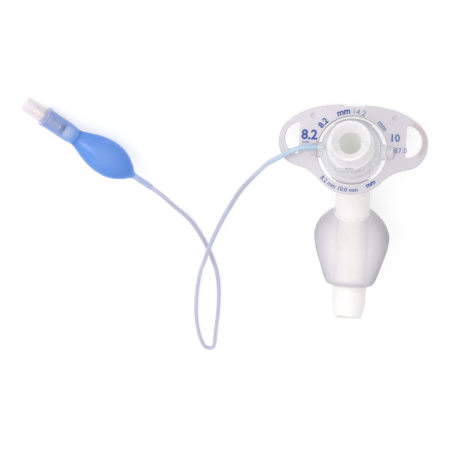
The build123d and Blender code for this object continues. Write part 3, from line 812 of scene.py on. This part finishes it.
@dataclass
class Cuff:
    """The cuff's film, blown up round the bent tube between its two bonded necks.

    Attributes:
        hub: The hub's frame, whose own axis the tube leaves along.
        bend_radius: The radius of the tube's bend.
        start: The angle round the bend where the film leaves its upper neck, in degrees.
        end: The angle where it meets its lower neck, in degrees.
        neck_turn: How far each neck runs on past that, in degrees.
        neck_radius: The film's outer radius at its necks.
        belly_radius: Its outer radius at the widest place.
        wall: The film's thickness.
        lean: How far the upper shoulder stands to the side of the tube's middle.
        lean_middle: The share of the way at which it leans most.
        lean_reach: How far along the film the lean fades, as a share of the way.
        pleat: How deep the film is pleated where it is gathered onto the necks.
        pleats: How many pleats there are round it.
        pleat_rise: The share of the way over which the pleats open from a neck.
        upper_fade: The share over which they smooth out again from the upper neck.
        lower_fade: The same from the lower neck.
        neck_shade: The painted shade on the bonded necks, from 0 to 1.
        left_shade: How much of the sides' painted shade the left side keeps, lighter than the right as it
            faces the lamp.
        shoulder_shade: The painted shade of its sides at the upper neck, as a share of that at its belly.
        shoulder_reach: The share of the way over which that painted shade deepens.
        hem_shade: The painted shade where it narrows to the lower neck.
        hem_start: The share of the way from which that painted shade begins there.
        hem_reach: The share over which it does.
        shares: The film's outline: the share of the way from neck to neck, and of the belly's radius.
    """

    hub: Place
    bend_radius: float = 57.0 * MM
    start: float = 45.2
    end: float = 79.4
    neck_turn: float = 1.5
    neck_radius: float = 7.35 * MM
    belly_radius: float = 15.8 * MM
    wall: float = 0.12 * MM
    lean: float = -0.6 * MM
    lean_middle: float = 0.16
    lean_reach: float = 0.13
    pleat: float = 0.07 * MM
    pleats: int = 26
    pleat_rise: float = 0.05
    upper_fade: float = 0.10
    lower_fade: float = 0.12
    neck_shade: float = 0.30
    left_shade: float = 0.97
    shoulder_shade: float = 0.80
    shoulder_reach: float = 0.30
    hem_shade: float = 0.80
    hem_start: float = 0.84
    hem_reach: float = 0.12
    shares: tuple[tuple[float, float], ...] = (
        (0.05, 0.58),
        (0.10, 0.72),
        (0.18, 0.88),
        (0.26, 0.965),
        (0.34, 1.0),
        (0.51, 0.96),
        (0.74, 0.815),
        (0.90, 0.70),
        (0.975, 0.60),
    )

    def outline(self, share: float) -> float:
        """The film's radius at a share of the way, on a smooth curve through the outline's shares.

        Args:
            share: The share of the way from the upper neck to the lower one.

        Returns:
            The radius in metres.
        """
        neck = self.neck_radius / self.belly_radius
        knots = [(0.0, neck), *self.shares, (1.0, neck)]
        if share <= 0.0 or share >= 1.0:
            return self.neck_radius
        index = max(step for step in range(len(knots) - 1) if knots[step][0] <= share)
        (from_share, from_radius), (to_share, to_radius) = knots[index], knots[index + 1]
        span = to_share - from_share
        way = (share - from_share) / span
        leave = way * (1.0 - way) ** 2 * self.slope(knots, index)
        arrive = way**2 * (1.0 - way) * self.slope(knots, index + 1)
        blend = from_radius + (to_radius - from_radius) * self.ease(way)
        return self.belly_radius * (blend + span * (leave - arrive))

    @staticmethod
    def slope(knots: list[tuple[float, float]], index: int) -> float:
        """The outline's slope at a knot, taken between its two neighbours."""
        before, after = knots[max(index - 1, 0)], knots[min(index + 1, len(knots) - 1)]
        return (after[1] - before[1]) / (after[0] - before[0])

    @staticmethod
    def ease(way: float) -> float:
        """A smooth step from 0 to 1, held at its ends."""
        held = min(max(way, 0.0), 1.0)
        return held * held * (3.0 - 2.0 * held)

    def spot(self, share: float, turn: float) -> Vector:
        """A point on the film's outside.

        Args:
            share: The share of the way from neck to neck.
            turn: The angle round the tube, in radians.

        Returns:
            The point in the row frame.
        """
        angle = math.radians(self.start + (self.end - self.start) * share)
        outward = self.hub.up * math.cos(angle) - self.hub.out * math.sin(angle)
        middle = self.hub.point(0.0, -self.bend_radius, 0.0) + outward * self.bend_radius
        leaning = math.exp(-(((share - self.lean_middle) / self.lean_reach) ** 2))
        middle += self.hub.right * self.lean * leaning
        from_upper = min(max(share, 0.0), 1.0)
        from_lower = 1.0 - from_upper
        upper = math.exp(-from_upper / self.upper_fade) * from_upper / self.pleat_rise
        lower = math.exp(-from_lower / self.lower_fade) * from_lower / self.pleat_rise
        wave = math.cos(self.pleats * turn + 2.0 * math.sin(3.0 * turn))
        radius = self.outline(share) + self.pleat * wave * min(upper + lower, 1.0)
        return middle + (outward * math.cos(turn) + self.hub.right * math.sin(turn)) * radius

    def shade(self, share: float, turn: float) -> float:
        """The painted shade at a point of the film: most at its sides and where it narrows to the lower
        neck, a little less on the left, which faces the lamp.

        Args:
            share: The share of the way from neck to neck.
            turn: The angle round the tube, in radians.

        Returns:
            A number from 0 to 1.
        """
        bond = 0.995
        if share < 0.0 or share > bond:
            return self.neck_shade
        across = math.sin(turn)
        deepened = (1.0 - self.shoulder_shade) * min(share / self.shoulder_reach, 1.0)
        side = abs(across) * (self.shoulder_shade + deepened)
        if across < 0.0:
            side *= self.left_shade
        gathered = self.hem_shade * self.ease((share - self.hem_start) / self.hem_reach)
        return max(side, gathered)

    def build(self, rings: int = 132, around: int = 144) -> None:
        """Makes the film as a closed thin shell that replaces its plain solid.

        Args:
            rings: How many rings of points the film has from end to end.
            around: How many points each ring has.
        """
        overhang = self.neck_turn / (self.end - self.start)
        turns = [math.tau * column / around for column in range(around)]
        film = bmesh.new()
        grid = []
        shades = []
        for step in range(rings):
            share = -overhang + (1.0 + 2.0 * overhang) * step / (rings - 1)
            grid.append([film.verts.new(self.spot(share, turn)) for turn in turns])
            shades.extend(self.shade(share, turn) for turn in turns)
        for ring, following in zip(grid, grid[1:]):
            for column in range(around):
                beside = (column + 1) % around
                film.faces.new((ring[column], ring[beside], following[beside], following[column]))
        bmesh.ops.recalc_face_normals(film, faces=film.faces)
        mesh = bpy.data.meshes.new("cuff_film")
        film.to_mesh(mesh)
        film.free()
        # Each point carries its painted shade, which the film's stops turn into colour and opacity.
        shade = mesh.attributes.new("shade", "FLOAT", "POINT")
        shade.data.foreach_set("value", shades)
        mesh.shade_smooth()
        shell = bpy.data.objects.new("cuff_film", mesh)
        bpy.context.scene.collection.objects.link(shell)
        solidify = shell.modifiers.new("wall", "SOLIDIFY")
        solidify.thickness = self.wall
        solidify.offset = -1.0
        mesh = evaluated(shell)
        piece = add_piece("cuff_film", mesh, CUFF_FILM.through("shade"), Body.TUBE)
        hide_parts("cuff")


# The inflation line


@dataclass
class InflationLine:
    """The thin line from the hub's nipple to the pilot balloon's tail.

    Attributes:
        hub: The hub's frame.
        pilot: The pilot balloon's frame, facing down its axis.
        radius: The line's radius.
        length: Its real length along the photographed route; not used.
        nipple_height: The nipple's height over the hub's own middle.
        route: Its free points in the row frame, in millimetres.
    """

    hub: Place
    pilot: Place
    radius: float = 1.0 * MM
    length: float = 0.4066
    nipple_height: float = 4.2 * MM
    route: list[tuple[float, float, float]] = field(
        default_factory=lambda: [
            (-21.8, 35.0, 16.8),
            (-26.2, 32.6, 18.0),
            (-31.2, 27.6, 17.2),
            (-34.8, 19.6, 13.4),
            (-38.2, 10.0, 8.6),
            (-43.2, -1.5, 4.0),
            (-50.0, -15.0, 1.1),
            (-54.6, -25.0, 1.1),
            (-61.2, -38.8, 2.4),
            (-67.6, -54.0, 6.3),
            (-71.2, -65.5, 6.3),
            (-75.6, -80.0, 2.4),
            (-79.3, -95.4, 1.1),
            (-82.8, -114.0, 1.1),
            (-85.2, -132.0, 1.1),
            (-86.0, -148.0, 1.1),
            (-85.6, -158.5, 1.1),
            (-84.4, -165.4, 1.1),
            (-79.9, -165.4, 1.1),
            (-78.1, -158.2, 1.1),
            (-76.3, -146.0, 1.1),
            (-73.4, -131.0, 1.1),
            (-70.5, -113.0, 1.1),
            (-68.4, -96.0, 1.1),
            (-67.6, -80.0, 1.1),
            (-69.4, -62.0, 1.1),
            (-72.0, -48.6, 1.1),
            (-74.4, -39.0, 1.5),
            (-77.0, -30.0, 3.2),
            (-79.5, -19.5, 6.6),
        ]
    )

    def points(self) -> list[Vector]:
        """The route's points, from the nipple's hole to the tail's."""
        free = [Vector(point) * MM for point in self.route]
        start = [self.hub.point(across * MM, 0.0, self.nipple_height) for across in (-10.03, -17.5)]
        end = [self.pilot.point(0.0, 0.0, along * MM) for along in (68.3, 57.8)]
        return [*start, *free, *end]

    def build(self) -> None:
        curve = bpy.data.curves.new("line", "CURVE")
        curve.dimensions = "3D"
        curve.bevel_depth = self.radius
        curve.bevel_resolution = 5
        curve.resolution_u = 12
        curve.use_fill_caps = True
        spline = curve.splines.new("NURBS")
        points = self.points()
        spline.points.add(len(points) - 1)
        for spot, point in zip(spline.points, points):
            spot.co = (*point, 1.0)
        spline.order_u = 3
        spline.use_endpoint_u = True
        curve.materials.append(LINE_CLEAR.along(ACROSS))
        line = bpy.data.objects.new("line", curve)
        bpy.context.scene.collection.objects.link(line)
        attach(line, Body.TUBE.value)
        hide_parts("inflation_line")
        LOG.info("piece line: %d route points", len(points))


# The valve's spring


@dataclass
class ValveSpring:
    """The coil spring behind the plunger; the real one shortens as the plunger is pressed.

    Attributes:
        node: The frame's spring.
        press: The record's entry for the joint that presses the plunger; not used.
    """

    node: bpy.types.Object
    press: dict

    def build(self) -> None:
        """Makes the spring's own piece from a merged copy of the frame's spring."""
        coil = bmesh.new()
        coil.from_mesh(self.node.data)
        bmesh.ops.remove_doubles(coil, verts=coil.verts, dist=0.0001 * MM)
        mesh = bpy.data.meshes.new("spring_wire")
        coil.to_mesh(mesh)
        coil.free()
        mesh.shade_smooth()
        piece = add_piece("spring_wire", mesh, SPRING_STEEL.material(), Body.TUBE)
        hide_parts("valve_spring")
        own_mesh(piece)


# The frame's own nodes


@dataclass
class Nodes:
    """The carried-over solids, each given its finish.

    Attributes:
        objects: The frame's node objects by name.
        pilot: The pilot balloon's frame.
    """

    objects: dict
    pilot: Place

    def dress(self) -> None:
        """Gives every node its own finish."""
        finishes = {
            "outer_cannula": AIRWAY.material(),
            "swivel_hub": HUB_CLEAR.material(),
            "neck_flange": FLANGE_SOFT.material(),
            "inner_cannula": LINER.material(),
            "connector": CONNECTOR_WHITE.material(),
            "pilot_balloon": BALLOON_BLUE.along(self.pilot),
            "valve_plunger": PLUNGER_CREAM.material(),
            "valve_seal": SEAL_BLACK.material(),
        }
        port = PORT_CLEAR.along(self.pilot)
        for name in ("valve_housing", "valve_retainer"):
            finishes[name] = port
        for name, material in finishes.items():
            mesh = self.objects[name].data
            mesh.materials.clear()
            mesh.materials.append(material)
            LOG.info("node %s: %s", name, material.name)


# The studio


@dataclass
class Studio:
    """The pale floor, the soft lamps and the camera.

    Attributes:
        eye: The camera's place.
        right: The picture's right-hand direction.
        down: The picture's downward direction.
        lens: The focal length for a 36 mm wide frame.
        paper_seen: How strongly the floor shows its shadows to the eye.
        paper_glow: How much even white the eye sees on top of that.
        paper_half: Half the floor's side.
        sky: The strength of the even light all round.
        key_place: Where the key lamp hangs.
        key_target: What it points at.
        key_power: Its power in watts.
        key_size: The length of its side.
    """

    eye: Vector = field(default_factory=lambda: Vector((0.01870703, 0.31928598, 0.24783090)))
    right: Vector = field(default_factory=lambda: Vector((0.98276551, -0.11069359, -0.14805030)))
    down: Vector = field(default_factory=lambda: Vector((0.05866226, -0.57274592, 0.81763124)))
    lens: float = 77.28
    paper_seen: float = 0.38
    paper_glow: float = 0.66
    paper_half: float = 4.0
    sky: float = 0.84
    key_place: Vector = field(default_factory=lambda: Vector((-0.40, 1.0, 0.78)))
    key_target: Vector = field(default_factory=lambda: Vector((-0.03, -0.04, 0.0)))
    key_power: float = 6.6
    key_size: float = 0.7

    def camera(self) -> None:
        """Sets the camera at the photograph's angle."""
        data = bpy.data.cameras.new("camera")
        data.lens = self.lens
        data.clip_start = 0.01
        data.clip_end = 20.0
        camera = bpy.data.objects.new("camera", data)
        up = -self.down.normalized()
        right = self.right.normalized()
        back = right.cross(up)
        turn = Matrix((right, up, back)).transposed().to_4x4()
        camera.matrix_world = Matrix.Translation(self.eye) @ turn
        bpy.context.scene.collection.objects.link(camera)
        bpy.context.scene.camera = camera

    def floor(self) -> None:
        """Lays the pale floor that keeps the object's shadow."""
        half = self.paper_half
        mesh = bpy.data.meshes.new("floor")
        corners = [(-half, -half, 0.0), (half, -half, 0.0), (half, half, 0.0), (-half, half, 0.0)]
        mesh.from_pydata(corners, [], [(0, 1, 2, 3)])
        material = bpy.data.materials.new("floor_paper")
        material.use_nodes = True
        nodes, links = material.node_tree.nodes, material.node_tree.links
        shader = nodes["Principled BSDF"]
        shader.inputs["Roughness"].default_value = 0.9
        shader.inputs["Specular IOR Level"].default_value = 0.1
        shader.inputs["Emission Color"].default_value = (1.0, 1.0, 1.0, 1.0)
        path = nodes.new("ShaderNodeLightPath")
        mirrored = nodes.new("ShaderNodeMath")
        mirrored.operation = "MAXIMUM"
        seen = nodes.new("ShaderNodeMath")
        seen.operation = "MAXIMUM"
        glow = nodes.new("ShaderNodeMath")
        glow.operation = "MULTIPLY"
        glow.inputs[1].default_value = self.paper_glow
        paper = nodes.new("ShaderNodeMix")
        paper.data_type = "RGBA"
        paper.inputs[6].default_value = (0.85, 0.85, 0.85, 1.0)
        paper.inputs[7].default_value = (self.paper_seen, self.paper_seen, self.paper_seen, 1.0)
        links.new(path.outputs["Is Glossy Ray"], mirrored.inputs[0])
        links.new(path.outputs["Is Transmission Ray"], mirrored.inputs[1])
        links.new(path.outputs["Is Camera Ray"], seen.inputs[0])
        links.new(mirrored.outputs[0], seen.inputs[1])
        links.new(seen.outputs[0], glow.inputs[0])
        links.new(seen.outputs[0], paper.inputs[0])
        links.new(paper.outputs[2], shader.inputs["Base Color"])
        links.new(glow.outputs[0], shader.inputs["Emission Strength"])
        mesh.materials.append(material)
        floor = bpy.data.objects.new("floor", mesh)
        bpy.context.scene.collection.objects.link(floor)

    def key_lamp(self) -> None:
        """Hangs the square soft lamp above the object's left."""
        data = bpy.data.lights.new("key", "AREA")
        data.energy = self.key_power
        data.size = self.key_size
        lamp = bpy.data.objects.new("key", data)
        lamp.location = self.key_place
        lamp.rotation_euler = (self.key_target - self.key_place).to_track_quat("-Z", "Y").to_euler()
        bpy.context.scene.collection.objects.link(lamp)

    def even_light(self) -> None:
        """Lights the object evenly from all round."""
        world = bpy.data.worlds.new("studio")
        bpy.context.scene.world = world
        world.use_nodes = True
        ground = world.node_tree.nodes["Background"]
        ground.inputs["Color"].default_value = (1.0, 1.0, 1.0, 1.0)
        ground.inputs["Strength"].default_value = self.sky

    def build(self) -> None:
        """Sets the whole studio."""
        self.camera()
        self.floor()
        self.even_light()
        self.key_lamp()
        bpy.context.scene.view_settings.view_transform = "Standard"


# Everything in order


def main() -> None:
    """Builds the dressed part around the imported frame."""
    logging.basicConfig(level=logging.INFO, format="%(message)s")
    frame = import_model()
    record = frame["record"]
    joints, mounts = frame["joints"], record["mounts"]
    across = Vector((1.0, 0.0, 0.0))
    centre = Vector(found(joints, "flange_swivel")["pos_m"])
    hub = Place.facing(centre, Vector(found(mounts, "connector_cone")["axis"]), across)
    flange = Place.facing(centre, Vector(found(mounts, "strap_slot_left")["axis"]), across)
    port = found(mounts, "luer_port")
    axis = Vector(found(joints, "valve_press")["axis"]).normalized()
    mouth = Vector(port["pos_m"]) - axis * PORT_DEPTH
    pilot = Place.facing(mouth, axis, axis.cross(Vector((0.0, 0.0, 1.0))))
    Effects.build()
    Studio().build()
    press = found(record["behaviour"]["joints"], "valve_press")
    ValveSpring(frame["nodes"]["valve_spring"], press).build()
    InflationLine(hub, pilot).build()
    Cuff(hub).build()
    Nodes(frame["nodes"], pilot).dress()
    FlangePrint(flange).build()


if __name__ == "__main__":
    main()
